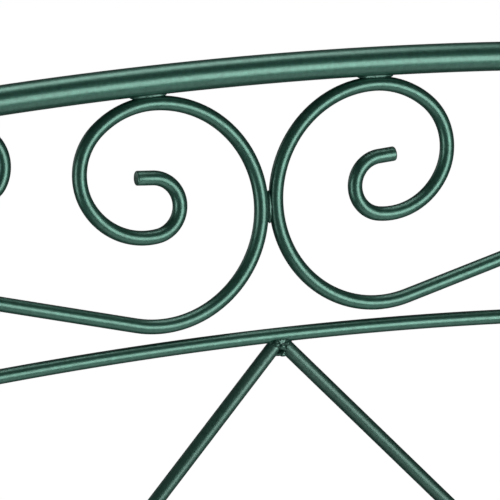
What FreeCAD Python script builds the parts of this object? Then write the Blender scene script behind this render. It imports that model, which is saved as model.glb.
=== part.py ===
"""Arched garden trellis panel: a round top tube on two posts, a scroll frieze hung under the
arch, an inner rod parallel to the arch and a welded diamond lattice down to an arched foot rod.

Millimetres. X runs along the panel to the right, Y to the back and Z up. The origin is on the
ground, midway between the posts, in the plane that holds every centreline.
"""
import FreeCAD, Part
import math
import os

doc = FreeCAD.newDocument("trellis_arch")

# ---------------------------------------------------------------- driving dimensions

DIMENSIONS = (
    ("tube_od", 19.0, "frame tube, outside diameter"),
    ("tube_wall", 1.5, "frame tube, wall"),
    ("rod_dia", 9.5, "round bar of the scrolls, rails and lattice"),
    ("arch_height", 2000.0, "centreline of the top tube at mid span above the ground"),
    ("arch_radius", 2932.0, "centreline radius of the top tube"),
    ("rail_gap", 171.9, "top tube to inner rod, centre to centre"),
    ("corner_radius", 45.0, "bend from the arch into the post"),
    ("corner_leg", 36.0, "straight end below that bend"),
    ("curl_start_x", 89.6, "end of the large curl from the pair's centre line"),
    ("curl_start_z", 61.87, "end of the large curl below the top tube's centreline"),
    ("curl_start_dip", 4.0, "degrees that this straight end dips"),
    ("end_run", 11.4, "straight end of the large curl"),
    ("hook_radius", 18.8, "large curl, innermost bend"),
    ("hook_sweep", 167.7, "degrees"),
    ("inner_radius", 44.7, "large curl, second bend"),
    ("inner_sweep", 69.2, "degrees"),
    ("shoulder_radius", 38.6, "large curl, third bend"),
    ("shoulder_sweep", 77.4, "degrees"),
    ("crown_radius", 57.4, "large curl, fourth bend, up to the top tube"),
    ("crown_sweep", 42.9, "degrees"),
    ("flank_radius", 71.3, "large curl, outer bend round to the straight run"),
    ("flank_sweep", 193.3, "degrees"),
    ("long_run", 106.6, "straight length between the two curls"),
    ("turn_radius", 60.0, "small curl, outer bend"),
    ("turn_sweep", 105.5, "degrees"),
    ("bow_radius", 38.8, "small curl, second bend, up to the top tube"),
    ("bow_sweep", 60.0, "degrees"),
    ("neck_radius", 24.0, "small curl, third bend"),
    ("neck_sweep", 120.0, "degrees"),
    ("tip_radius", 13.0, "small curl, innermost bend"),
    ("tip_sweep", 150.0, "degrees"),
    ("tip_run", 8.0, "straight end of the small curl"),
    ("lattice_angle", 43.4, "degrees between the lattice rods and the vertical"),
    ("lattice_shift", 3.1, "lattice's centre line to the right of the arch's"),
    ("apex_drop", 3.2, "lattice joints below the inner rod's centreline"),
    ("joint_fit", 0.1, "radial clearance of the connectors in the tubes"),
    ("joint_low", 960.0, "height of the joint in each post"),
    ("plug_up", 30.0, "connector above a joint"),
    ("plug_down", 42.0, "connector below a joint"),
    ("bolt_drop", 22.0, "bolt below a joint"),
    ("bolt_dia", 5.0, "joint bolt"),
    ("bolt_hole", 5.4, "bolt holes in the tubes and connectors"),
    ("head_dia", 9.6, "bolt head"),
    ("head_height", 3.2, "bolt head"),
    ("nut_flats", 8.0, "nut across its flats"),
    ("nut_height", 4.0, "nut"),
    ("web_thickness", 4.6, "flat weld webs in the corners between rods"),
    ("cross_web_radius", 10.4, "web where two lattice rods cross"),
    ("post_web_radius", 12.0, "web where lattice rods meet a post"),
    ("end_web_radius", 8.4, "web where an arched rod meets a post"),
    ("stake_dia", 14.0, "ground stake, outside the post"),
    ("stake_depth", 260.0, "ground stake below the ground"),
    ("stake_plug", 70.0, "ground stake inside the post"),
    ("stake_tip", 40.0, "taper of the stake's point"),
    ("stake_tip_dia", 3.0, "blunt end of the stake's point"),
)

sheet = doc.addObject("Spreadsheet::Sheet", "Dims")
for row, (alias, number, note) in enumerate(DIMENSIONS, start=1):
    sheet.set(f"A{row}", alias)
    sheet.set(f"B{row}", str(number))
    sheet.set(f"C{row}", note)
    sheet.setAlias(f"B{row}", alias)
doc.recompute()


def size(alias):
    """The number in the sheet's cell of that name."""
    return float(sheet.get(alias))


# ---------------------------------------------------------------- sizes that follow from them

TUBE_R = size("tube_od") / 2
ROD_R = size("rod_dia") / 2
ARCH_R = size("arch_radius")
INNER_R = ARCH_R - size("rail_gap")
ARCH_CENTRE_Z = size("arch_height") - ARCH_R
# Bars that touch are drawn this far apart.
TOUCH = 0.1
# Degrees that a straight bar is spun, which keeps its seam off the lines where bars touch.
SEAM_SPIN = 40
TUBE = "Dims.tube_od / 2"
TUBE_BORE = "Dims.tube_od / 2 - Dims.tube_wall"
ROD = "Dims.rod_dia / 2"
PLUG = "Dims.tube_od / 2 - Dims.tube_wall - Dims.joint_fit"
BOLT_HOLE = "Dims.bolt_hole / 2"
STAKE = "Dims.stake_dia / 2"

UP = FreeCAD.Vector(0, 0, 1)
BACK = FreeCAD.Vector(0, 1, 0)
NODES = []


def at(x, z, y=0.0):
    return FreeCAD.Vector(x, y, z)


def on_arch(radius, degrees):
    """Point on a circle about the arch's centre, degrees to the right of its crown."""
    angle = math.radians(degrees)
    return at(radius * math.sin(angle), ARCH_CENTRE_Z + radius * math.cos(angle))


def node(obj, name):
    """Name a finished sub-part, which also names its file."""
    obj.Label = name
    NODES.append(obj)
    return obj


# ---------------------------------------------------------------- bars and booleans


def straight_bar(name, start, end, radius=ROD):
    """Round bar between two points."""
    bar = doc.addObject("Part::Cylinder", name)
    bar.setExpression("Radius", radius)
    bar.Height = (end - start).Length
    spin = FreeCAD.Rotation(UP, SEAM_SPIN)
    bar.Placement = FreeCAD.Placement(start, FreeCAD.Rotation(UP, end - start).multiply(spin))
    return bar


def bent_bar(name, frame, centre, start, turn, big, sweep, radius=ROD):
    """Round bar bent about centre by sweep degrees, to the left (turn 1) or right (turn -1).

    start is the direction from the centre to the bar's first end, in degrees from +X to +Z.
    big and sweep are expressions, or plain numbers where they are worked out above.
    """
    bar = doc.addObject("Part::Torus", name)
    for prop, amount in (("Radius1", big), ("Radius2", radius), ("Angle3", sweep)):
        if isinstance(amount, str):
            bar.setExpression(prop, amount)
        else:
            setattr(bar, prop, amount)
    axis = BACK * -turn
    angle = math.radians(start)
    out = at(math.cos(angle), math.sin(angle))
    local = FreeCAD.Placement(centre, FreeCAD.Rotation(out, axis.cross(out), axis, "ZXY"))
    bar.Placement = frame.multiply(local)
    return bar


def fuse(name, parts):
    joined = doc.addObject("Part::MultiFuse", name)
    joined.Shapes = parts
    return joined


def cut(name, base, tools):
    """What is left of base once every tool is taken away."""
    tool = tools[0] if len(tools) == 1 else fuse(name + "_tools", tools)
    result = doc.addObject("Part::Cut", name)
    result.Base = base
    result.Tool = tool
    return result


# ---------------------------------------------------------------- scrolls

SCROLL_LEGS = (
    "end_run", "hook", "inner", "shoulder", "crown", "flank", "long_run",
    "turn", "bow", "neck", "tip", "tip_run",
)


def direction(degrees):
    """Unit vector in the panel's plane, degrees from +X towards +Z."""
    angle = math.radians(degrees)
    return at(math.cos(angle), math.sin(angle))


def scroll_walk(side):
    """Each leg of a scroll with its first point, its heading there and its bend's centre.

    side is -1 for the scroll on the left of its pair and 1 for the one on the right. The walk
    goes from the large curl's inner end to the small curl's, always turning to the same side.
    """
    point = at(side * size("curl_start_x"), -size("curl_start_z"))
    dip = size("curl_start_dip")
    heading = 180 + dip if side > 0 else -dip
    for leg in SCROLL_LEGS:
        if leg.endswith("run"):
            yield leg, point, heading, None
            point = point + direction(heading) * size(leg)
        else:
            big = size(leg + "_radius")
            centre = point + direction(heading + 90 * side) * big
            yield leg, point, heading, centre
            heading += side * size(leg + "_sweep")
            point = centre - direction(heading + 90 * side) * big


def scroll(name, frame, side):
    """Make one C scroll from its straight and bent lengths and return them by leg."""
    bars = {}
    for leg, point, heading, centre in scroll_walk(side):
        label = f"{name}_{leg}"
        if centre is None:
            bar = straight_bar(label, point, point + direction(heading) * size(leg))
            bar.setExpression("Height", "Dims." + leg)
            bar.Placement = frame.multiply(bar.Placement)
        else:
            start = heading - 90 * side
            big, sweep = f"Dims.{leg}_radius", f"Dims.{leg}_sweep"
            bar = bent_bar(label, frame, centre, start, side, big, sweep)
        bars[leg] = bar
    node(fuse(name, list(bars.values())), name)
    return bars


def pair_frame(degrees):
    """Frame of one pair of scrolls: on the top tube's centreline, upright to the arch."""
    lean = FreeCAD.Rotation(BACK, degrees)
    return FreeCAD.Placement(on_arch(ARCH_R, degrees), lean)


# A scroll reaches out furthest at its small curl's outer bend. Neighbouring pairs lean on each
# other there, and the outer pairs lean on the posts.
LEG_CENTRES = {leg: centre for leg, _, _, centre in scroll_walk(1)}
REACH = LEG_CENTRES["turn"]
REACH_R = math.hypot(REACH.x, REACH.z + ARCH_R)
REACH_ANGLE = math.degrees(math.atan2(REACH.x, REACH.z + ARCH_R))
TURN_OUTER = size("turn_radius") + ROD_R
HALF_PITCH = REACH_ANGLE + math.degrees(math.asin((TURN_OUTER + TOUCH / 2) / REACH_R))
PITCH = 2 * HALF_PITCH
PAIR_ANGLES = (-PITCH, 0.0, PITCH)
OUTER_TURN = on_arch(REACH_R, PITCH + REACH_ANGLE)
POST_X = OUTER_TURN.x + TURN_OUTER + TOUCH + TUBE_R
SIDES = (("left", -1), ("right", 1))

scrolls = []
for pair, degrees in zip(("left", "middle", "right"), PAIR_ANGLES):
    frame = pair_frame(degrees)
    made = [scroll(f"scroll_{pair}_pair_{hand}", frame, side) for hand, side in SIDES]
    scrolls.append(made)

# ---------------------------------------------------------------- frame tubes

WHOLE = FreeCAD.Placement()
CORNER_X = POST_X - size("corner_radius")
ARCH_HALF = math.degrees(math.asin(CORNER_X / (ARCH_R - size("corner_radius"))))
CORNER_Z = on_arch(ARCH_R - size("corner_radius"), ARCH_HALF).z
JOINT_HIGH = CORNER_Z - size("corner_leg")
JOINT_LOW = size("joint_low")
ARCH_CENTRE = at(0, ARCH_CENTRE_Z)


def arch_bars(name, radius):
    """Arch, both corner bends and both short legs of the top tube, as bars of one radius."""
    corner = 90 - ARCH_HALF
    bars = [
        bent_bar(name + "_arch", WHOLE, ARCH_CENTRE, 90 + ARCH_HALF, -1,
                 "Dims.arch_radius", 2 * ARCH_HALF, radius),
        bent_bar(name + "_corner_left", WHOLE, at(-CORNER_X, CORNER_Z), 180, -1,
                 "Dims.corner_radius", corner, radius),
        bent_bar(name + "_corner_right", WHOLE, at(CORNER_X, CORNER_Z), corner, -1,
                 "Dims.corner_radius", corner, radius),
    ]
    for hand, side in SIDES:
        foot = at(side * POST_X, JOINT_HIGH)
        leg = straight_bar(f"{name}_leg_{hand}", foot, at(side * POST_X, CORNER_Z), radius)
        leg.setExpression("Height", "Dims.corner_leg")
        bars.append(leg)
    return bars


def bolt_hole(name, x, joint):
    """Bar across a post, front to back, that drills a joint's bolt hole."""
    height = joint - size("bolt_drop")
    across = size("tube_od")
    return straight_bar(name, at(x, height, -across), at(x, height, across), BOLT_HOLE)


def post_length(name, x, top, bottom):
    """One length of post, drilled below its top end for the joint's bolt."""
    outside = straight_bar(name + "_outside", at(x, bottom), at(x, top), TUBE)
    bore = straight_bar(name + "_bore", at(x, bottom), at(x, top), TUBE_BORE)
    node(cut(name, outside, [bore, bolt_hole(name + "_hole", x, top)]), name)


def connector(name, x, joint):
    """Short tube inside a joint: welded into the upper length, bolted into the lower."""
    top = at(x, joint + size("plug_up"))
    bottom = at(x, joint - size("plug_down"))
    outside = straight_bar(name + "_outside", bottom, top, PLUG)
    bore = straight_bar(name + "_bore", bottom, top, PLUG + " - Dims.tube_wall")
    node(cut(name, outside, [bore, bolt_hole(name + "_hole", x, joint)]), name)


top_outside = arch_bars("top_outside", TUBE)
top_tube = cut("top_tube", fuse("top_solid", top_outside), arch_bars("top_bore", TUBE_BORE))
node(top_tube, "top_tube")

post_outsides = {}
for hand, side in SIDES:
    x = side * POST_X
    post_length(f"post_upper_{hand}", x, JOINT_HIGH, JOINT_LOW)
    post_length(f"post_lower_{hand}", x, JOINT_LOW, 0.0)
    connector(f"connector_top_{hand}", x, JOINT_HIGH)
    connector(f"connector_middle_{hand}", x, JOINT_LOW)
    post_outsides[side] = straight_bar(f"post_{hand}", at(x, 0), at(x, CORNER_Z), TUBE)

# ---------------------------------------------------------------- inner rod and foot rod

LATTICE_SLOPE = 1 / math.tan(math.radians(size("lattice_angle")))
LATTICE_DEPTH = 2 * LATTICE_SLOPE * POST_X
FOOT_DROP = LATTICE_DEPTH + 2 * size("apex_drop")
ROD_HALF = math.degrees(math.asin(POST_X / INNER_R))


def arched_rod(name, drop):
    """Rod parallel to the arch, from post to post, its ends coped round the posts."""
    centre = ARCH_CENTRE - UP * drop
    bar = bent_bar(name + "_bar", WHOLE, centre, 90 + ROD_HALF, -1,
                   "Dims.arch_radius - Dims.rail_gap", 2 * ROD_HALF)
    node(cut(name, bar, list(post_outsides.values())), name)
    return bar


inner_bar = arched_rod("inner_rod", 0.0)
foot_bar = arched_rod("foot_rod", FOOT_DROP)

# ---------------------------------------------------------------- lattice

# Rods that fall to the right obey z = level - slope * x; those that fall to the left are their
# mirror. The first three start at the joints under the pairs of scrolls, and the next three at
# the left post, where the rods of the other hand end. x is from the lattice's centre line.
MIDDLE_JOINT = on_arch(INNER_R, 0) - UP * size("apex_drop")
SIDE_JOINT = on_arch(INNER_R, PITCH) - UP * size("apex_drop")
SIDE_X = SIDE_JOINT.x
SIDE_RISE = LATTICE_SLOPE * SIDE_X
LEVELS = [SIDE_JOINT.z + SIDE_RISE, MIDDLE_JOINT.z, SIDE_JOINT.z - SIDE_RISE]
LEVELS += [level - LATTICE_DEPTH for level in LEVELS]
SPANS = [
    (SIDE_X, POST_X), (0.0, POST_X), (-SIDE_X, POST_X),
    (-POST_X, SIDE_X), (-POST_X, 0.0), (-POST_X, -SIDE_X),
]
# Two rods that meet on an arched rod stop short, where their sides touch.
SETBACK = (ROD_R * LATTICE_SLOPE + TOUCH) * math.sin(math.radians(size("lattice_angle")))
SHIFT = size("lattice_shift")


def lattice_point(level, x, side):
    """Point at x along a rod that falls to the right (side 1) or to the left (side -1)."""
    return at(side * x + SHIFT, level - LATTICE_SLOPE * x)


def lattice_bar(name, level, ends, side):
    """Lattice rod between the two places along it in ends."""
    start, stop = [lattice_point(level, x, side) for x in ends]
    return straight_bar(name, start, stop)


def short_of_rods(start, stop):
    """The same stretch of a rod, less the setback at an end that meets an arched rod."""
    return (start if start == -POST_X else start + SETBACK,
            stop if stop == POST_X else stop - SETBACK)


frame_tools = [post_outsides[-1], post_outsides[1], inner_bar, foot_bar]
right_bars = []
for number, (level, span) in enumerate(zip(LEVELS, SPANS), start=1):
    name = f"lattice_right_{number}"
    bar = lattice_bar(name + "_bar", level, short_of_rods(*span), 1)
    right_bars.append(bar)
    node(cut(name, bar, frame_tools), name)

# The rods of the first hand run through. Those of the other hand are short pieces between them,
# and left_bars holds the same rods whole.
crossings = []
left_bars = []
for number, (level, span) in enumerate(zip(LEVELS, SPANS), start=1):
    clear = short_of_rods(*span)
    left_bars.append(lattice_bar(f"left_{number}", level, clear, -1))
    stops = [clear[0]]
    crossed = []
    for bar, other, reach in zip(right_bars, LEVELS, SPANS):
        x = (level - other) / (2 * LATTICE_SLOPE)
        reach = short_of_rods(*reach)
        if clear[0] < x < clear[1] and reach[0] < -x < reach[1]:
            stops.append(x)
            crossed.append(bar)
            crossings.append((lattice_point(level, x, -1), bar, number))
    stops.append(clear[1])
    for piece, ends in enumerate(zip(stops, stops[1:]), start=1):
        name = f"lattice_left_{number}_{piece}"
        bar = lattice_bar(name + "_bar", level, ends, -1)
        neighbours = crossed[max(piece - 2, 0):piece]
        node(cut(name, bar, frame_tools + neighbours), name)

# ---------------------------------------------------------------- welds

# Beads are ellipsoids: half their size along the panel, through it and up it.
PAIR_BEAD = (3.0, 4.3, 14.0)
CROWN_BEAD = (12.0, 4.3, 2.8)
CURL_BEAD = (8.0, 4.3, 2.8)
SIDE_BEAD = (3.0, 4.3, 12.0)
POST_SIDE_BEAD = (2.5, 4.3, 12.0)
APEX_BEAD = (8.5, 5.2, 7.8)
APEX_BEAD_OFFSET = 3.0


def trim(name, blank, mates):
    """What is left of a weld's blank outside the bars that it joins."""
    for number, mate in enumerate(mates, start=1):
        blank = cut(f"{name}_{number}", blank, [mate])
    return blank


def bead(name, place, radii, mates):
    """Rounded weld bead."""
    drop = doc.addObject("Part::Ellipsoid", name + "_drop")
    drop.Radius2, drop.Radius3, drop.Radius1 = radii
    drop.Placement = place
    return trim(name, drop, mates)


def web(name, point, radius, mates):
    """Flat weld web in the corners round the point where bars meet."""
    half = BACK * (size("web_thickness") / 2)
    disc = straight_bar(name + "_disc", point - half, point + half, "Dims." + radius)
    disc.setExpression("Height", "Dims.web_thickness")
    return trim(name, disc, mates)


def group(name, pieces):
    """One node of like pieces, each its own solid."""
    compound = doc.addObject("Part::Compound", name)
    compound.Links = pieces
    node(compound, name)


def upright(point, degrees=0.0):
    return FreeCAD.Placement(point, FreeCAD.Rotation(BACK, degrees))


arch_outside = top_outside[0]
flank, bow = LEG_CENTRES["flank"], LEG_CENTRES["bow"]
pair_beads, crown_beads, curl_beads = [], [], []
for pair, degrees in zip(scrolls, PAIR_ANGLES):
    frame = pair_frame(degrees)
    name = f"pair_bead_{len(pair_beads) + 1}"
    place = frame.multiply(upright(at(0, flank.z)))
    flanks = [bars["flank"] for bars in pair]
    pair_beads.append(bead(name, place, PAIR_BEAD, flanks))
    for bars, (hand, side) in zip(pair, SIDES):
        for beads, centre, legs, radii in (
            (crown_beads, flank, ("crown", "flank"), CROWN_BEAD),
            (curl_beads, bow, ("bow", "neck"), CURL_BEAD),
        ):
            turn = math.degrees(math.atan2(side * centre.x, centre.z + ARCH_R))
            place = upright(on_arch(ARCH_R - TUBE_R, degrees + turn), degrees + turn)
            name = f"arch_bead_{len(crown_beads) + len(curl_beads) + 1}"
            mates = [arch_outside] + [bars[leg] for leg in legs]
            beads.append(bead(name, place, radii, mates))
group("weld_scroll_pairs", pair_beads)
group("weld_scroll_crowns", crown_beads)
group("weld_small_curls", curl_beads)

side_beads = []
CONTACT_R = REACH_R * math.cos(math.radians(HALF_PITCH - REACH_ANGLE))
for number, degrees in enumerate((-HALF_PITCH, HALF_PITCH)):
    place = upright(on_arch(CONTACT_R, degrees), degrees)
    mates = [scrolls[number][1]["turn"], scrolls[number + 1][0]["turn"]]
    side_beads.append(bead(f"side_bead_{number + 1}", place, SIDE_BEAD, mates))
for hand, side in SIDES:
    # The left bead is turned half round, which puts its seam inside the post, as on the right.
    place = upright(at(side * (POST_X - TUBE_R), OUTER_TURN.z), 0.0 if side > 0 else 180.0)
    mates = [post_outsides[side], scrolls[1 + side][(side + 1) // 2]["turn"]]
    side_beads.append(bead(f"side_bead_{hand}", place, POST_SIDE_BEAD, mates))
group("weld_scroll_sides", side_beads)

# The rods of each hand that meet under a pair of scrolls, and those that meet at the foot rod.
top_beads, foot_beads = [], []
for number, joint in enumerate((SIDE_JOINT, MIDDLE_JOINT, SIDE_JOINT)):
    x = (number - 1) * SIDE_X + SHIFT
    right, left = right_bars[2 - number], left_bars[number]
    place = upright(at(x, joint.z - APEX_BEAD_OFFSET))
    top_beads.append(bead(f"top_bead_{number + 1}", place, APEX_BEAD, [inner_bar, right, left]))
    right, left = right_bars[5 - number], left_bars[3 + number]
    place = upright(at(x, joint.z - LATTICE_DEPTH + APEX_BEAD_OFFSET))
    foot_beads.append(bead(f"foot_bead_{number + 1}", place, APEX_BEAD, [foot_bar, right, left]))
group("weld_apexes", top_beads)
group("weld_foot_joints", foot_beads)

group("weld_crossings", [
    web(f"cross_web_{number}", point, "cross_web_radius", [bar, left_bars[left - 1]])
    for number, (point, bar, left) in enumerate(crossings, start=1)
])

post_webs, end_webs = [], []
for hand, side in SIDES:
    falling, rising = (right_bars, left_bars) if side > 0 else (left_bars, right_bars)
    for number in range(3):
        point = at(side * (POST_X - TUBE_R), LEVELS[number] - LATTICE_SLOPE * POST_X)
        mates = [post_outsides[side], falling[number], rising[number + 3]]
        name = f"post_web_{hand}_{number + 1}"
        post_webs.append(web(name, point, "post_web_radius", mates))
    for rod, bar, drop in (("inner", inner_bar, 0.0), ("foot", foot_bar, FOOT_DROP)):
        point = on_arch(INNER_R, side * ROD_HALF) - UP * drop - at(side * TUBE_R, 0)
        mates = [post_outsides[side], bar]
        end_webs.append(web(f"end_web_{hand}_{rod}", point, "end_web_radius", mates))
group("weld_lattice_posts", post_webs)
group("weld_rod_ends", end_webs)

# ---------------------------------------------------------------- ground stakes

for hand, side in SIDES:
    x = side * POST_X
    neck = at(x, size("stake_tip") - size("stake_depth"))
    shank = straight_bar(f"stake_shank_{hand}", neck, at(x, 0), STAKE)
    plug = straight_bar(f"stake_plug_{hand}", at(x, 0), at(x, size("stake_plug")), PLUG)
    plug.setExpression("Height", "Dims.stake_plug")
    point = doc.addObject("Part::Cone", f"stake_point_{hand}")
    point.setExpression("Radius1", "Dims.stake_tip_dia / 2")
    point.setExpression("Radius2", STAKE)
    point.setExpression("Height", "Dims.stake_tip")
    point.Placement = upright(at(x, -size("stake_depth")))
    node(fuse(f"ground_stake_{hand}", [plug, shank, point]), f"ground_stake_{hand}")

# ---------------------------------------------------------------- joint bolts and nuts

# Each head is a disc with a domed face, flat over its middle. The shank ends a little past its nut.
HEAD_FLAT = 0.3
DOME_R = 0.6 * size("head_dia")
DOME_BACK = DOME_R - size("head_height") - HEAD_FLAT
SHANK_TAIL = 1.5
bolts, nuts = [], []
for hand, side in SIDES:
    for level, joint in (("top", JOINT_HIGH), ("middle", JOINT_LOW)):
        height = joint - size("bolt_drop")
        front = at(side * POST_X, height, -TUBE_R)
        behind = at(side * POST_X, height, TUBE_R)
        name = f"{level}_{hand}"
        tail = behind + BACK * (size("nut_height") + SHANK_TAIL)
        shank = straight_bar("shank_" + name, front, tail, "Dims.bolt_dia / 2")
        head = straight_bar("head_" + name, front - BACK * size("head_height"), front,
                            "Dims.head_dia / 2")
        head.setExpression("Height", "Dims.head_height")
        dome = doc.addObject("Part::Sphere", "dome_" + name)
        dome.Radius = DOME_R
        dome.Placement = upright(front + BACK * DOME_BACK)
        cap = doc.addObject("Part::Common", "cap_" + name)
        cap.Base = head
        cap.Tool = dome
        bolts.append(fuse("bolt_" + name, [shank, cap]))
        hexagon = doc.addObject("Part::Prism", "hexagon_" + name)
        hexagon.Polygon = 6
        hexagon.setExpression("Circumradius", "Dims.nut_flats / sqrt(3)")
        hexagon.setExpression("Height", "Dims.nut_height")
        hexagon.Placement = FreeCAD.Placement(behind, FreeCAD.Rotation(UP, BACK))
        nuts.append(cut("nut_" + name, hexagon, [shank]))
group("joint_bolts", bolts)
group("joint_nuts", nuts)

# ---------------------------------------------------------------- check and write

doc.recompute()
for obj in doc.Objects:
    if "Invalid" in obj.State or "Error" in obj.State:
        raise SystemExit(f"{obj.Name} failed: {obj.State}")
for obj in NODES:
    if obj.Shape.isNull() or not obj.Shape.isValid() or not obj.Shape.Solids:
        raise SystemExit(f"{obj.Label} has no valid solid")

os.makedirs("parts", exist_ok=True)
for obj in NODES:
    obj.Shape.exportStep(f"parts/{obj.Label}.step")
    box = obj.Shape.BoundBox
    print(f"{obj.Label:28s} solids {len(obj.Shape.Solids):3d}  {obj.Shape.Volume / 1000:9.2f} cm3"
          f"  x {box.XMin:8.1f} {box.XMax:8.1f}  z {box.ZMin:8.1f} {box.ZMax:8.1f}")
print(len(NODES), "nodes; posts at", round(POST_X, 2), "pair pitch", round(PITCH, 3), "degrees")
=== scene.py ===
"""Looks of an arched garden trellis panel: powder-coated tubes and rods, weld beads, zinc bolts.

Metres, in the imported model's own frame: X runs along the panel to the right, Y to the back and Z
up. The origin is on the ground, midway between the posts.
"""
import bpy
import math
from mathutils import Euler, Matrix, Vector, noise


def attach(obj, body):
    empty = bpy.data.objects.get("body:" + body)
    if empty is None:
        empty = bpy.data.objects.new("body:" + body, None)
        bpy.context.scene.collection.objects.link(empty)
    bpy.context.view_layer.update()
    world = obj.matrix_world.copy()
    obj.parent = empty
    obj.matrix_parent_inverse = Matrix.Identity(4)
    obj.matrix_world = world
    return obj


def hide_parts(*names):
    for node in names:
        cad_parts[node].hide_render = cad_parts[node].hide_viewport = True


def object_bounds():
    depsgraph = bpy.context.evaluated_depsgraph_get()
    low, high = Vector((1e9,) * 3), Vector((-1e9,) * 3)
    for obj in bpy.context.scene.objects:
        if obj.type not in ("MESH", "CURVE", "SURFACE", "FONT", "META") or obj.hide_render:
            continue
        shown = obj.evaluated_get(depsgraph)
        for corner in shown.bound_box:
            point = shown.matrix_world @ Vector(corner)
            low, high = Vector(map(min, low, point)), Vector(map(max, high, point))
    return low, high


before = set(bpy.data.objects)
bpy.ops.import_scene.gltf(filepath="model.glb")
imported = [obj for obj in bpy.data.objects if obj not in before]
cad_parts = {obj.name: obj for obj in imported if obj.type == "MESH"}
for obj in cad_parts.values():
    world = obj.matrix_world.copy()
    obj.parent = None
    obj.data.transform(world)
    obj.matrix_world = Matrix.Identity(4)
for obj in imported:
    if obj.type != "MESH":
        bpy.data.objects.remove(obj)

MM = 0.001
cad_low, cad_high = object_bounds()

# ---------------------------------------------------------------- driving dimensions, mm

TUBE_R = 9.5
ROD_R = 4.75
ARCH_HEIGHT = 2000.0
ARCH_R = 2932.0
RAIL_GAP = 171.9
CORNER_R = 45.0
CORNER_LEG = 36.0
TOUCH = 0.1
CURL_START_X = 89.6
CURL_START_Z = 61.87
CURL_START_DIP = 4.0
# A scroll's legs from its large curl to its small one: a length, or a bend's radius and degrees.
HOOK, INNER, SHOULDER, CROWN = (18.8, 167.7), (44.7, 69.2), (38.6, 77.4), (57.4, 42.9)
FLANK, LONG_RUN, TURN = (71.3, 193.3), (106.6,), (60.0, 105.5)
BOW, NECK, TIP = (38.8, 60.0), (24.0, 120.0), (13.0, 150.0)
SCROLL_LEGS = (
    (11.4,), HOOK, INNER, SHOULDER, CROWN, FLANK, LONG_RUN, TURN, BOW, NECK, TIP, (8.0,),
)
LATTICE_SLOPE = 1 / math.tan(math.radians(43.4))
LATTICE_SHIFT = 3.1
APEX_DROP = 3.2
JOINT_LOW = 960.0
BOLT_DROP = 22.0
STAKE_DEPTH = 260.0
STAKE_TIP = 40.0
STAKE_TIP_R = 1.5
STAKE_R = 7.0
STAKE_PLUG_R = 7.9

INNER_R = ARCH_R - RAIL_GAP
ARCH_CENTRE_Z = ARCH_HEIGHT - ARCH_R
SIDES = (("left", -1), ("right", 1))

# ---------------------------------------------------------------- fineness of the meshes

# Radius of the rounded rim on a cut end of a rod and of a tube, mm, and the degrees of its rings.
RIM = 1.0
TUBE_RIM = 0.5
RIM_STEPS = (0.0, 30.0, 60.0, 90.0)
# Degrees between rings in a bend, and in a bend as wide as the arch.
BEND_STEP = 3.0
WIDE_BEND = 1000.0
WIDE_STEP = 0.3
# Flat sides round a bar.
TOP_TUBE_SIDES = 72
POST_SIDES = 64
RAIL_SIDES = 48
ROD_SIDES = 40
TURNED_SIDES = 48
# An edge sharper than this many degrees stays sharp.
SHARP_EDGE = 50


# ---------------------------------------------------------------- centrelines in the panel's plane


def direction(degrees):
    """Unit vector in the panel's plane, degrees from +X towards +Z."""
    angle = math.radians(degrees)
    return Vector((math.cos(angle), 0.0, math.sin(angle)))


def on_arch(radius, degrees):
    """Point on a circle about the arch's centre, degrees to the right of its crown."""
    return Vector((0.0, 0.0, ARCH_CENTRE_Z)) + radius * direction(90 - degrees)


def walk(point, heading, legs, turn):
    """Centreline of a bar bent always to the left (turn 1) or right (turn -1), and bend centres.

    A leg is a straight length or a bend's radius and degrees. The line is a list of points, each
    with its heading in degrees.
    """
    line = [(point, heading)]
    centres = []
    for leg in legs:
        centre = None
        if len(leg) == 1:
            point = point + leg[0] * direction(heading)
            line.append((point, heading))
        else:
            radius, sweep = leg
            centre = point + radius * direction(heading + 90 * turn)
            steps = max(2, math.ceil(sweep / (WIDE_STEP if radius > WIDE_BEND else BEND_STEP)))
            for _ in range(steps):
                heading += turn * sweep / steps
                point = centre - radius * direction(heading + 90 * turn)
                line.append((point, heading))
        centres.append(centre)
    return line, centres


def scroll_line(side, lean):
    """Centreline of one scroll, the left (-1) or right (1) one of the pair at that lean."""
    start = Vector((side * CURL_START_X, 0.0, -CURL_START_Z))
    heading = 180 + CURL_START_DIP if side > 0 else -CURL_START_DIP
    line, centres = walk(start, heading, SCROLL_LEGS, side)
    crown = on_arch(ARCH_R, lean)
    turned = Euler((0.0, math.radians(lean), 0.0)).to_matrix()
    return [(crown + turned @ point, heading - lean) for point, heading in line], centres


FLANK_LEG, TURN_LEG, BOW_LEG = (SCROLL_LEGS.index(leg) for leg in (FLANK, TURN, BOW))
SCROLL_CENTRES = scroll_line(1, 0.0)[1]
REACH = SCROLL_CENTRES[TURN_LEG] + Vector((0.0, 0.0, ARCH_R))
REACH_R = REACH.length
REACH_ANGLE = math.degrees(math.atan2(REACH.x, REACH.z))
TURN_OUTER = TURN[0] + ROD_R
HALF_PITCH = REACH_ANGLE + math.degrees(math.asin((TURN_OUTER + TOUCH / 2) / REACH_R))
PITCH = 2 * HALF_PITCH
PAIRS = (("left", -PITCH), ("middle", 0.0), ("right", PITCH))
OUTER_TURN = on_arch(REACH_R, PITCH + REACH_ANGLE)
POST_X = OUTER_TURN.x + TURN_OUTER + TOUCH + TUBE_R
CORNER_X = POST_X - CORNER_R
ARCH_HALF = math.degrees(math.asin(CORNER_X / (ARCH_R - CORNER_R)))
JOINT_HIGH = on_arch(ARCH_R - CORNER_R, ARCH_HALF).z - CORNER_LEG
LATTICE_DEPTH = 2 * LATTICE_SLOPE * POST_X
FOOT_DROP = LATTICE_DEPTH + 2 * APEX_DROP
ROD_HALF = math.degrees(math.asin(POST_X / INNER_R))


# ---------------------------------------------------------------- meshes


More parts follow.
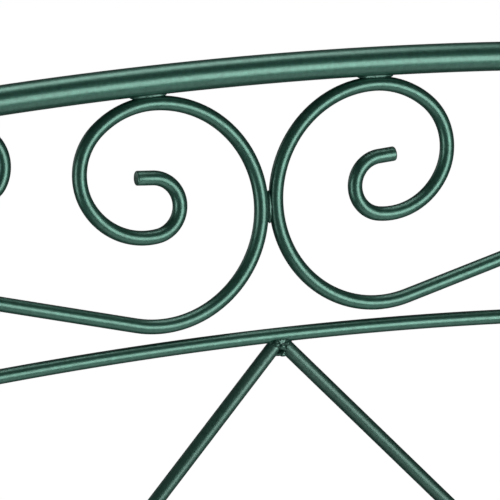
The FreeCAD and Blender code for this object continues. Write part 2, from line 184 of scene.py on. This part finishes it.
def finish_mesh(name, vertices, faces, material, wear_and_highlight=None):
    """Object from millimetre vertices, smooth but for its sharp edges, with an attribute of wear and
    of a painted rim highlight.
    """
    mesh = bpy.data.meshes.new(name)
    mesh.from_pydata([vertex * MM for vertex in vertices], [], faces)
    mesh.update()
    mesh.polygons.foreach_set("use_smooth", [True] * len(mesh.polygons))
    mesh.set_sharp_from_angle(angle=math.radians(SHARP_EDGE))
    attribute = mesh.attributes.new("wear_and_highlight", "FLOAT", "POINT")
    attribute.data.foreach_set("value", wear_and_highlight or [0.0] * len(vertices))
    mesh.materials.append(material)
    piece = bpy.data.objects.new(name, mesh)
    bpy.context.scene.collection.objects.link(piece)
    return piece


def stand_in(piece, slot, *nodes):
    """The piece takes those CAD nodes' place on the one body."""
    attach(piece, "root")
    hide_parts(*nodes)


def skin(rings, sides, first):
    """Faces between consecutive rings of vertices, and a cap on each end."""
    faces = []
    for ring in range(rings - 1):
        low = first + ring * sides
        for side in range(sides):
            following = (side + 1) % sides
            faces.append((low + side, low + following, low + sides + following, low + sides + side))
    last = first + (rings - 1) * sides
    faces.append(tuple(range(first + sides - 1, first - 1, -1)))
    faces.append(tuple(range(last, last + sides)))
    return faces


def rounded_ends(line, radius, rim):
    """Rings of the line, with those of a rounded rim at both ends.

    A ring is its centre, its heading, its radius and its share of wear and painted highlight, which is
    1 on the rims.
    """
    rings = []
    for index, (point, heading) in enumerate(line):
        at_end = index in (0, len(line) - 1)
        inward = 1 if index == 0 else -1
        angles = RIM_STEPS if index == 0 else RIM_STEPS[::-1]
        for degrees in angles if at_end else ():
            angle = math.radians(degrees)
            place = point + inward * rim * (1 - math.cos(angle)) * direction(heading)
            # Rim rings are marked 1 and painted lighter: worn thin coat and a painted highlight on the
            # rounded rim.
            rings.append((place, heading, radius - rim * (1 - math.sin(angle)), 1.0))
        if not at_end:
            rings.append((point, heading, radius, 0.0))
    return rings


def bar(name, line, radius, sides, material, rim=RIM):
    """Round bar along a centreline, with the lightly rounded rims of a cut bar."""
    vertices, wear_and_highlight = [], []
    rings = rounded_ends(line, radius, rim)
    for point, heading, ring_radius, ring_wear_and_highlight in rings:
        outward = direction(heading + 90)
        for side in range(sides):
            angle = 2 * math.pi * side / sides
            around = math.cos(angle) * outward + math.sin(angle) * Vector((0.0, 1.0, 0.0))
            vertices.append(point + ring_radius * around)
            wear_and_highlight.append(ring_wear_and_highlight)
    return finish_mesh(name, vertices, skin(len(rings), sides, 0), material, wear_and_highlight)


def straight_line(start, end, step=60.0):
    """Centreline of a straight bar, with a point about every step."""
    span = end - start
    heading = math.degrees(math.atan2(span.z, span.x))
    count = max(1, round(span.length / step))
    return [(start + span * number / count, heading) for number in range(count + 1)]


def lathe(rings, sides, place):
    """Vertices of a turned part along place's +Y. A ring is (depth, radius or its shape)."""
    vertices = []
    for depth, shape in rings:
        for side in range(sides):
            angle = 2 * math.pi * side / sides
            radius = shape(angle) if callable(shape) else shape
            point = Vector((radius * math.cos(angle), depth, radius * math.sin(angle)))
            vertices.append(place + point)
    return vertices


def hexagon(flats, corner=math.inf):
    """Radius of a hexagon across its flats at an angle, no further out than its corner."""
    def shape(angle):
        off_flat = (angle + math.pi / 6) % (math.pi / 3) - math.pi / 6
        return min(flats / 2 / math.cos(off_flat), corner)
    return shape


def unit_sphere(rows=20, columns=36):
    """Unit sphere's vertices and faces, its poles at +-Y."""
    vertices = [Vector((0.0, -1.0, 0.0))]
    for row in range(1, rows):
        lift = math.pi * row / rows
        for column in range(columns):
            angle = 2 * math.pi * column / columns
            around = math.sin(lift)
            point = (around * math.cos(angle), -math.cos(lift), around * math.sin(angle))
            vertices.append(Vector(point))
    vertices.append(Vector((0.0, 1.0, 0.0)))
    faces = []
    for column in range(columns):
        following = (column + 1) % columns
        faces.append((0, 1 + column, 1 + following))
        for row in range(rows - 2):
            low = 1 + row * columns
            high = low + columns
            faces.append((low + column, high + column, high + following, low + following))
        low = 1 + (rows - 2) * columns
        faces.append((low + column, len(vertices) - 1, low + following))
    return vertices, faces


SPHERE = unit_sphere()
# Waves per mm of a bead's coarse and fine lumps, and mm between its ripples.
COARSE_LUMPS = 0.35
FINE_LUMPS = 0.9
RIPPLE_PITCH = 2.4


class Beads:
    """Weld beads gathered into one piece: lumpy drops with the ripples of a moving torch."""

    def __init__(self):
        self.vertices = []
        self.faces = []

    def drop(self, centre, radii, degrees=0.0, lump=0.10, ripple=0.0):
        """One drop; radii are along the panel, through it and up it before it leans by degrees."""
        turned = Euler((0.0, math.radians(degrees), 0.0)).to_matrix()
        first = len(self.vertices)
        longest = 0 if radii[0] >= radii[2] else 2
        for unit in SPHERE[0]:
            point = Vector(size * along for size, along in zip(radii, unit))
            world = centre + turned @ point
            swell = lump * noise.noise(world * COARSE_LUMPS)
            swell += 0.5 * lump * noise.noise(world * FINE_LUMPS)
            wave = ripple * math.cos(2 * math.pi * point[longest] / RIPPLE_PITCH)
            swell += wave * abs(unit.y)
            self.vertices.append(centre + turned @ (point * (1 + swell)))
        self.faces += [tuple(first + index for index in face) for face in SPHERE[1]]

    def piece(self, node, material):
        made = finish_mesh(node + "_beads", self.vertices, self.faces, material)
        stand_in(made, "frame_green", node)


# ---------------------------------------------------------------- materials


def new_material(name):
    """Material with its Principled shader, object coordinates and a maker of linked nodes."""
    material = bpy.data.materials.new(name)
    material.use_nodes = True
    tree = material.node_tree
    shader = tree.nodes["Principled BSDF"]
    coordinates = tree.nodes.new("ShaderNodeTexCoord").outputs["Object"]

    def grain(scale, detail, rough=0.5):
        texture = tree.nodes.new("ShaderNodeTexNoise")
        texture.inputs["Scale"].default_value = scale
        texture.inputs["Detail"].default_value = detail
        texture.inputs["Roughness"].default_value = rough
        tree.links.new(coordinates, texture.inputs["Vector"])
        return texture.outputs["Fac"]

    def spread(value, low, high, to_low=0.0, to_high=1.0):
        remap = tree.nodes.new("ShaderNodeMapRange")
        for socket, number in zip(("From Min", "From Max", "To Min", "To Max"),
                                  (low, high, to_low, to_high)):
            remap.inputs[socket].default_value = number
        tree.links.new(value, remap.inputs["Value"])
        return remap.outputs["Result"]

    def blend(share, first, second):
        mix = tree.nodes.new("ShaderNodeMix")
        mix.data_type = "RGBA"
        sockets = [socket for socket in mix.inputs if socket.type == "RGBA"]
        tree.links.new(share, mix.inputs["Factor"])
        for socket, colour in zip(sockets, (first, second)):
            if isinstance(colour, tuple):
                socket.default_value = (*colour, 1.0)
            else:
                tree.links.new(colour, socket)
        return next(socket for socket in mix.outputs if socket.type == "RGBA")

    def math_node(operation, first, second):
        node = tree.nodes.new("ShaderNodeMath")
        node.operation = operation
        for socket, value in zip(node.inputs, (first, second)):
            if isinstance(value, float):
                socket.default_value = value
            else:
                tree.links.new(value, socket)
        return node.outputs["Value"]

    def bump(height, strength, distance, normal=None):
        node = tree.nodes.new("ShaderNodeBump")
        node.inputs["Strength"].default_value = strength
        node.inputs["Distance"].default_value = distance
        tree.links.new(height, node.inputs["Height"])
        if normal is not None:
            tree.links.new(normal, node.inputs["Normal"])
        return node.outputs["Normal"]

    return material, tree, shader, grain, spread, blend, math_node, bump


def powder_coat(name, peel, painted_shade_factor=1.0, dull=0.0):
    """Satin green powder coat with metallic flakes: orange peel, mottling, and rims painted lighter,
    partly for worn thin coat and partly as a painted highlight; a darkening factor below 1 gives a
    darker copy of the coat as painted shade.
    """
    material, tree, shader, grain, spread, blend, math_node, bump = new_material(name)
    # A darkening factor below 1 paints shade into every colour of the coat.
    deep = tuple(painted_shade_factor * channel for channel in (0.013, 0.080, 0.055))
    bright = tuple(painted_shade_factor * channel for channel in (0.030, 0.120, 0.086))
    pale_worn_and_highlit = tuple(painted_shade_factor * channel for channel in (0.085, 0.21, 0.16))
    mottle = spread(grain(330.0, 3.0, 0.6), 0.3, 0.7)
    flakes = spread(grain(1500.0, 1.0), 0.62, 0.78, 0.0, 0.35)
    patches = spread(grain(14.0, 3.0), 0.35, 0.65, 0.0, 0.5)
    colour = blend(mottle, deep, bright)
    colour = blend(math_node("MULTIPLY", patches, 0.35), colour, tuple(0.7 * c for c in bright))
    colour = blend(flakes, colour, pale_worn_and_highlit)
    # Rims are painted lighter, broken up by noise: partly worn thin coat, partly a painted highlight.
    attribute = tree.nodes.new("ShaderNodeAttribute")
    attribute.attribute_name = "wear_and_highlight"
    chips_and_highlight_breakup = spread(grain(800.0, 2.0), 0.35, 0.6)
    wear_and_highlight_share = math_node("MULTIPLY", attribute.outputs["Fac"], chips_and_highlight_breakup)
    colour = blend(math_node("MULTIPLY", wear_and_highlight_share, 0.7), colour, pale_worn_and_highlit)
    tree.links.new(colour, shader.inputs["Base Color"])
    roughness = spread(grain(240.0, 3.0), 0.3, 0.7, 0.36 + dull, 0.43 + dull)
    tree.links.new(roughness, shader.inputs["Roughness"])
    for socket, number in (
        ("Metallic", 0.85), ("Coat Weight", 0.6), ("Coat Roughness", 0.30 + dull), ("Coat IOR", 1.6),
    ):
        shader.inputs[socket].default_value = number
    coarse = bump(grain(420.0, 2.0), peel, 0.00012)
    tree.links.new(bump(grain(1300.0, 1.0), 0.5 * peel, 0.00005, coarse), shader.inputs["Normal"])
    return material


def zinc_plate(name):
    """Zinc plating with a faint blue and yellow cast and darker random stains."""
    material, tree, shader, grain, spread, blend, math_node, bump = new_material(name)
    cast = spread(grain(220.0, 3.0), 0.35, 0.65)
    colour = blend(cast, (0.50, 0.53, 0.58), (0.62, 0.58, 0.48))
    stain = spread(grain(700.0, 4.0, 0.7), 0.55, 0.75, 0.0, 0.6)
    colour = blend(stain, colour, (0.26, 0.25, 0.23))
    tree.links.new(colour, shader.inputs["Base Color"])
    shader.inputs["Metallic"].default_value = 1.0
    tree.links.new(spread(grain(500.0, 3.0), 0.3, 0.7, 0.26, 0.46), shader.inputs["Roughness"])
    tree.links.new(bump(grain(1600.0, 2.0), 0.15, 0.0001), shader.inputs["Normal"])
    return material


COAT = powder_coat("green_powder_coat", 0.16)
# Weld beads take a copy of the coat darkened to 0.72: painted shade of beads set back between the
# bars.
SHADED_BEAD_COAT = powder_coat("green_powder_coat_on_welds_painted_shade", 0.5, 0.72)
# Lattice rods take a copy darkened to 0.76, painted shade where the lattice is lit less, with a
# rougher, duller coat.
SHADED_LATTICE_COAT = powder_coat("green_powder_coat_on_lattice_painted_shade", 0.2, 0.76, 0.1)
ZINC = zinc_plate("zinc_plating")


# ---------------------------------------------------------------- tubes, rods and scrolls


def coated_bar(node, line, radius, sides, rim=RIM, coat=COAT):
    stand_in(bar(node + "_coated", line, radius, sides, coat, rim), "frame_green", node)


def make_frame_tubes():
    """Top tube with its legs, and the posts below it."""
    corner = (CORNER_R, 90 - ARCH_HALF)
    legs = ((CORNER_LEG,), corner, (ARCH_R, 2 * ARCH_HALF), corner, (CORNER_LEG,))
    foot = Vector((-POST_X, 0.0, JOINT_HIGH))
    coated_bar("top_tube", walk(foot, 90.0, legs, -1)[0], TUBE_R, TOP_TUBE_SIDES, TUBE_RIM)
    for hand, side in SIDES:
        for level, top, bottom in (("upper", JOINT_HIGH, JOINT_LOW), ("lower", JOINT_LOW, 0.0)):
            ends = (Vector((side * POST_X, 0.0, height)) for height in (top, bottom))
            line = straight_line(*ends)
            coated_bar(f"post_{level}_{hand}", line, TUBE_R, POST_SIDES, TUBE_RIM)


def make_arched_rods():
    for node, drop in (("inner_rod", 0.0), ("foot_rod", FOOT_DROP)):
        start = on_arch(INNER_R, -ROD_HALF) - Vector((0.0, 0.0, drop))
        line = walk(start, ROD_HALF, ((INNER_R, 2 * ROD_HALF),), -1)[0]
        coated_bar(node, line, ROD_R, RAIL_SIDES)


def make_scrolls():
    for pair, lean in PAIRS:
        for hand, side in SIDES:
            line = scroll_line(side, lean)[0]
            coated_bar(f"scroll_{pair}_pair_{hand}", line, ROD_R, ROD_SIDES)


# ---------------------------------------------------------------- lattice

MIDDLE_JOINT = on_arch(INNER_R, 0.0) - Vector((0.0, 0.0, APEX_DROP))
SIDE_JOINT = on_arch(INNER_R, PITCH) - Vector((0.0, 0.0, APEX_DROP))
SIDE_X = SIDE_JOINT.x
SIDE_RISE = LATTICE_SLOPE * SIDE_X
# Rods that fall to the right obey z = level - slope * x; the others are their mirror.
LEVELS = [SIDE_JOINT.z + SIDE_RISE, MIDDLE_JOINT.z, SIDE_JOINT.z - SIDE_RISE]
LEVELS += [level - LATTICE_DEPTH for level in LEVELS]
SPANS = [
    (SIDE_X, POST_X), (0.0, POST_X), (-SIDE_X, POST_X),
    (-POST_X, SIDE_X), (-POST_X, 0.0), (-POST_X, -SIDE_X),
]
CROSS_BEAD = (8.2, 3.9, 8.2)


def lattice_point(level, x, side):
    """Point at x along a rod that falls to the right (side 1) or to the left (side -1)."""
    return Vector((side * x + LATTICE_SHIFT, 0.0, level - LATTICE_SLOPE * x))


def lattice_rod(node, level, start, stop, side):
    ends = lattice_point(level, start, side), lattice_point(level, stop, side)
    coated_bar(node, straight_line(*ends), ROD_R, ROD_SIDES, coat=SHADED_LATTICE_COAT)


def crossings(level, span):
    """Places along a rod that falls to the left where it crosses one that falls to the right."""
    places = []
    for other, reach in zip(LEVELS, SPANS):
        x = (level - other) / (2 * LATTICE_SLOPE)
        if span[0] + ROD_R < x < span[1] - ROD_R and reach[0] + ROD_R < -x < reach[1] - ROD_R:
            places.append(x)
    return places


def inside_posts(span):
    """The span, stopped inside the post's tube where it ends at a post."""
    stop = POST_X - 0.5 * TUBE_R
    return max(span[0], -stop), min(span[1], stop)


def make_lattice():
    """The rods of both hands and the beads where they cross."""
    beads = Beads()
    for number, (level, span) in enumerate(zip(LEVELS, SPANS), start=1):
        lattice_rod(f"lattice_right_{number}", level, *inside_posts(span), 1)
        start, end = inside_posts(span)
        stops = [start, *crossings(level, span), end]
        for piece, ends in enumerate(zip(stops, stops[1:]), start=1):
            lattice_rod(f"lattice_left_{number}_{piece}", level, *ends, -1)
        for x in stops[1:-1]:
            beads.drop(lattice_point(level, x, -1), CROSS_BEAD, 45.0, 0.14)
    beads.piece("weld_crossings", SHADED_BEAD_COAT)


# ---------------------------------------------------------------- welds

# Half sizes of the beads, mm: along the panel, through it and up it.
PAIR_BEAD = (2.3, 3.0, 10.5)
PAIR_BEAD_LOW = 1.5
ARCH_BEAD = (2.7, 2.4)
CROWN_BEAD = (12.5, *ARCH_BEAD)
CURL_BEAD = (8.0, *ARCH_BEAD)
SIDE_BEAD = (2.3, 3.0, 10.0)
POST_SIDE_BEAD = (2.2, 3.2, 10.0)
APEX_BEAD = (8.0, 4.9, 6.6)
BRIDGE_BEAD = (6.2, 3.4, 2.2)
POST_BEAD = (6.2, 4.2, 11.5)
END_BEAD = (4.4, 6.0, 7.0)
# An apex bead and the bridge between the two rods sit this far from the joint.
APEX_BEAD_DOWN = 2.0
BRIDGE_DOWN = 8.4
# Spatter on an apex bead: place along the panel, in front of it and down from the joint, and radius.
SPATTER = ((-3.4, -4.4, 1.6, 2.4), (0.6, -5.0, 4.2, 2.8), (3.6, -4.2, 2.0, 2.1), (0.2, -4.6, 8.2, 2.3))


def make_scroll_welds():
    """Beads between a pair's scrolls, and along the top tube at each scroll's crown and bow."""
    pairs, crowns, curls = Beads(), Beads(), Beads()
    flank, bow = SCROLL_CENTRES[FLANK_LEG], SCROLL_CENTRES[BOW_LEG]
    for _, lean in PAIRS:
        between = on_arch(ARCH_R + flank.z - PAIR_BEAD_LOW, lean)
        pairs.drop(between, PAIR_BEAD, lean, 0.08, 0.03)
        for _, side in SIDES:
            for beads, centre, size in ((crowns, flank, CROWN_BEAD), (curls, bow, CURL_BEAD)):
                turn = lean + math.degrees(math.atan2(side * centre.x, centre.z + ARCH_R))
                beads.drop(on_arch(ARCH_R - TUBE_R, turn), size, turn, 0.09, 0.03)
    pairs.piece("weld_scroll_pairs", SHADED_BEAD_COAT)
    crowns.piece("weld_scroll_crowns", SHADED_BEAD_COAT)
    curls.piece("weld_small_curls", SHADED_BEAD_COAT)


def make_side_welds():
    """Beads between neighbouring pairs, and between the outer pairs and the posts."""
    beads = Beads()
    contact = REACH_R * math.cos(math.radians(HALF_PITCH - REACH_ANGLE))
    for lean in (-HALF_PITCH, HALF_PITCH):
        beads.drop(on_arch(contact, lean), SIDE_BEAD, lean, 0.08, 0.03)
    for _, side in SIDES:
        place = Vector((side * (POST_X - TUBE_R), 0.0, OUTER_TURN.z))
        beads.drop(place, POST_SIDE_BEAD, 0.0, 0.08, 0.03)
    beads.piece("weld_scroll_sides", SHADED_BEAD_COAT)


def make_joint_welds():
    """Beads where two lattice rods meet the arched rods, and where rods meet the posts."""
    tops, feet, posts, ends = Beads(), Beads(), Beads(), Beads()
    for x, joint in ((-SIDE_X, SIDE_JOINT), (0.0, MIDDLE_JOINT), (SIDE_X, SIDE_JOINT)):
        place = Vector((x + LATTICE_SHIFT, 0.0, joint.z))
        foot = place - Vector((0.0, 0.0, LATTICE_DEPTH))
        for beads, centre, down in ((tops, place, -1), (feet, foot, 1)):
            away = Vector((0.0, 0.0, down))
            beads.drop(centre + APEX_BEAD_DOWN * away, APEX_BEAD, 0.0, 0.14)
            beads.drop(centre + BRIDGE_DOWN * away, BRIDGE_BEAD, 0.0, 0.05)
            for offset, front, lift, radius in SPATTER:
                spot = centre + Vector((offset, front, lift * down))
                beads.drop(spot, (radius, 1.6, 0.9 * radius), 20.0, 0.3)
    for level in LEVELS[:3]:
        height = level - LATTICE_SLOPE * POST_X
        for _, side in SIDES:
            posts.drop(Vector((side * (POST_X - TUBE_R), 0.0, height)), POST_BEAD, 0.0, 0.16)
    for _, side in SIDES:
        for drop in (0.0, FOOT_DROP):
            place = on_arch(INNER_R, side * ROD_HALF) - Vector((side * TUBE_R, 0.0, drop))
            ends.drop(place, END_BEAD, 0.0, 0.14)
    tops.piece("weld_apexes", SHADED_BEAD_COAT)
    feet.piece("weld_foot_joints", SHADED_BEAD_COAT)
    posts.piece("weld_lattice_posts", SHADED_BEAD_COAT)
    ends.piece("weld_rod_ends", SHADED_BEAD_COAT)


# ---------------------------------------------------------------- stakes, bolts and nuts


def make_stakes():
    """Solid pegs plugged into the posts, tapering to a blunt point."""
    neck = STAKE_TIP - STAKE_DEPTH
    # Height and radius from the top down, with a broken edge at the shoulder and a soft neck.
    profile = [
        (20.0, STAKE_PLUG_R), (0.4, STAKE_PLUG_R), (0.0, STAKE_PLUG_R - 0.3),
        (0.0, STAKE_R), (-100.0, STAKE_R),
        (neck + 1.5, STAKE_R), (neck, STAKE_R - 0.05), (neck - 1.5, STAKE_R - 0.35),
        (0.6 - STAKE_DEPTH, STAKE_TIP_R), (-STAKE_DEPTH, STAKE_TIP_R - 0.6),
    ]
    sides = TURNED_SIDES
    for hand, side in SIDES:
        vertices, wear_and_highlight = [], []
        for height, radius in profile:
            for column in range(sides):
                angle = 2 * math.pi * column / sides
                x, y = radius * math.cos(angle), radius * math.sin(angle)
                vertices.append(Vector((side * POST_X + x, y, height)))
                wear_and_highlight.append(1.0 if height < neck else 0.15)
        faces = [face[::-1] for face in skin(len(profile), sides, 0)]
        piece = finish_mesh(f"ground_stake_{hand}_coated", vertices, faces, COAT, wear_and_highlight)
        stand_in(piece, "frame_green", f"ground_stake_{hand}")


def make_fasteners():
    """Button-head bolts from the front and chamfered nuts behind, two joints on each post."""
    head_r, head_height, shank_r, thread_r = 4.8, 3.2, 2.5, 2.15
    nut_height, tail = 4.0, 1.5
    socket = hexagon(3.0)
    head = [(-1.3, 0.4), (-1.3, socket), (-head_height, socket), (-head_height, 2.2)]
    for degrees in (15, 30, 45, 60, 75, 90):
        angle = math.radians(degrees)
        head.append((-head_height * math.cos(angle), 2.2 + (head_r - 2.2) * math.sin(angle)))
    head += [(-0.02, head_r - 0.15), (0.0, shank_r)]
    end = 2 * TUBE_R + nut_height + tail
    thread = []
    turn = 0.8
    depth = 2 * TUBE_R + nut_height - 0.6
    while depth < end - turn:
        thread += [(depth, shank_r), (depth + 0.5 * turn, thread_r)]
        depth += turn
    bolt = head + [(2 * TUBE_R, shank_r)] + thread + [(end - 0.4, shank_r - 0.1), (end, 1.9)]
    chamfer, flats = 3.9, 8.0
    nut = [(0.0, shank_r), (0.0, chamfer), (0.35, hexagon(flats, 4.25)), (0.7, hexagon(flats))]
    nut += [(nut_height - depth, shape) for depth, shape in reversed(nut)]
    sides = TURNED_SIDES
    bolts, nuts = ([], []), ([], [])
    for _, side in SIDES:
        for joint in (JOINT_HIGH, JOINT_LOW):
            front = Vector((side * POST_X, -TUBE_R, joint - BOLT_DROP))
            behind = front + Vector((0.0, 2 * TUBE_R, 0.0))
            for made, rings, place in ((bolts, bolt, front), (nuts, nut, behind)):
                faces = skin(len(rings), sides, len(made[0]))
                made[0].extend(lathe(rings, sides, place))
                made[1].extend(face[::-1] for face in faces)
    for node, made in (("joint_bolts", bolts), ("joint_nuts", nuts)):
        piece = finish_mesh(node + "_plated", *made, ZINC)
        stand_in(piece, "zinc_fastener", node)


# ---------------------------------------------------------------- studio


def soft_box(name, aim, azimuth, elevation, distance, width, height, power):
    """Area light that faces aim; azimuth 0 is in front and 90 on the right."""
    light = bpy.data.lights.new(name, "AREA")
    light.shape = "RECTANGLE"
    light.size = width
    light.size_y = height
    light.energy = power
    lamp = bpy.data.objects.new(name, light)
    a, e = math.radians(azimuth), math.radians(elevation)
    out = Vector((math.sin(a) * math.cos(e), -math.cos(a) * math.cos(e), math.sin(e)))
    lamp.location = aim + distance * out
    lamp.rotation_euler = out.to_track_quat("Z", "Y").to_euler()
    lamp.visible_camera = False
    bpy.context.scene.collection.objects.link(lamp)


def glowing_material(name, colour, glow):
    """Matt studio surface with a little glow of its own, so that it stays evenly pale."""
    material = bpy.data.materials.new(name)
    material.use_nodes = True
    shader = material.node_tree.nodes["Principled BSDF"]
    shader.inputs["Base Color"].default_value = (*colour, 1.0)
    shader.inputs["Roughness"].default_value = 0.9
    shader.inputs["Specular IOR Level"].default_value = 0.1
    shader.inputs["Emission Color"].default_value = (1.0, 1.0, 1.0, 1.0)
    shader.inputs["Emission Strength"].default_value = glow
    return material


def stage_mesh(name, vertices, faces, material):
    mesh = bpy.data.meshes.new(name)
    mesh.from_pydata(vertices, [], faces)
    mesh.materials.append(material)
    thing = bpy.data.objects.new(name, mesh)
    bpy.context.scene.collection.objects.link(thing)
    thing.visible_glossy = False
    return thing


# Name, shift along X from the camera's aim, azimuth, elevation, distance, width, height and watts.
SOFT_BOXES = (
    ("key", 0.0, 25.0, -7.0, 3.0, 1.8, 1.8, 62.0),
    ("side", 0.0, -82.0, -6.0, 3.0, 1.3, 2.0, 36.0),
    ("top", 0.25, 90.0, 86.0, 2.6, 1.3, 1.9, 34.0),
    ("bounce", 0.0, 12.0, -60.0, 2.4, 3.2, 2.0, 17.0),
    ("back", 0.0, -142.0, 15.0, 4.0, 2.4, 2.4, 9.0),
)
FLOOR_HALF = 45.0
ROOM_HEIGHT = 60.0
WORLD_GLOW = 0.06


def make_studio(aim):
    """Pale floor under the stakes, a pale surround, and soft boxes all round."""
    floor_z = cad_low.z - MM
    half = FLOOR_HALF
    corners = [(-half, -half, floor_z), (half, -half, floor_z), (half, half, floor_z),
               (-half, half, floor_z)]
    stage_mesh("floor", corners, [(0, 1, 2, 3)], glowing_material("floor_pale", (0.86,) * 3, 0.95))
    high = floor_z + ROOM_HEIGHT
    ring = [(x, y, z) for z in (floor_z - 0.01, high) for x, y, _ in corners]
    walls = [(0, 1, 5, 4), (1, 2, 6, 5), (2, 3, 7, 6), (3, 0, 4, 7), (4, 5, 6, 7)]
    pale = glowing_material("surround_pale", (0.0,) * 3, 1.04)
    surround = stage_mesh("surround", ring, walls, pale)
    surround.visible_diffuse = False
    surround.visible_shadow = False
    for name, shift, *setting in SOFT_BOXES:
        soft_box(name, aim + Vector((shift, 0.0, 0.0)), *setting)
    world = bpy.data.worlds.new("studio")
    world.use_nodes = True
    world.node_tree.nodes["Background"].inputs["Color"].default_value = (1.0, 1.0, 1.0, 1.0)
    world.node_tree.nodes["Background"].inputs["Strength"].default_value = WORLD_GLOW
    bpy.context.scene.world = world
    bpy.context.scene.view_settings.view_transform = "Standard"


# Degrees that the camera is turned, looks down and is tilted, its metres from its aim, and its lens.
YAW, PITCH_DOWN, ROLL, DISTANCE = 22.0, 8.46, 2.59, 2.447
SENSOR = 36.0
LENS = 275.5
FAR = 500.0


def make_camera(aim):
    """Long lens from the left front, looking a little down and tilted."""
    data = bpy.data.cameras.new("camera")
    data.sensor_width = SENSOR
    data.lens = LENS
    data.clip_end = FAR
    camera = bpy.data.objects.new("camera", data)
    turned = Matrix.Rotation(math.radians(-YAW), 3, "Z")
    turned = turned @ Matrix.Rotation(math.radians(90 - PITCH_DOWN), 3, "X")
    turned = turned @ Matrix.Rotation(math.radians(-ROLL), 3, "Z")
    camera.matrix_world = Matrix.Translation(aim + DISTANCE * turned.col[2]) @ turned.to_4x4()
    bpy.context.scene.collection.objects.link(camera)
    bpy.context.scene.camera = camera


make_frame_tubes()
make_arched_rods()
make_scrolls()
make_lattice()
make_scroll_welds()
make_side_welds()
make_joint_welds()
make_stakes()
make_fasteners()
for node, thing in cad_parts.items():
    if node.startswith("connector"):
        thing.data.materials.clear()
        thing.data.materials.append(COAT)

# The camera looks just left of the arch's crown, a little below it.
AIM = Vector((-0.0143, 0.0, ARCH_HEIGHT * MM - 0.115))
make_studio(AIM)
make_camera(AIM)
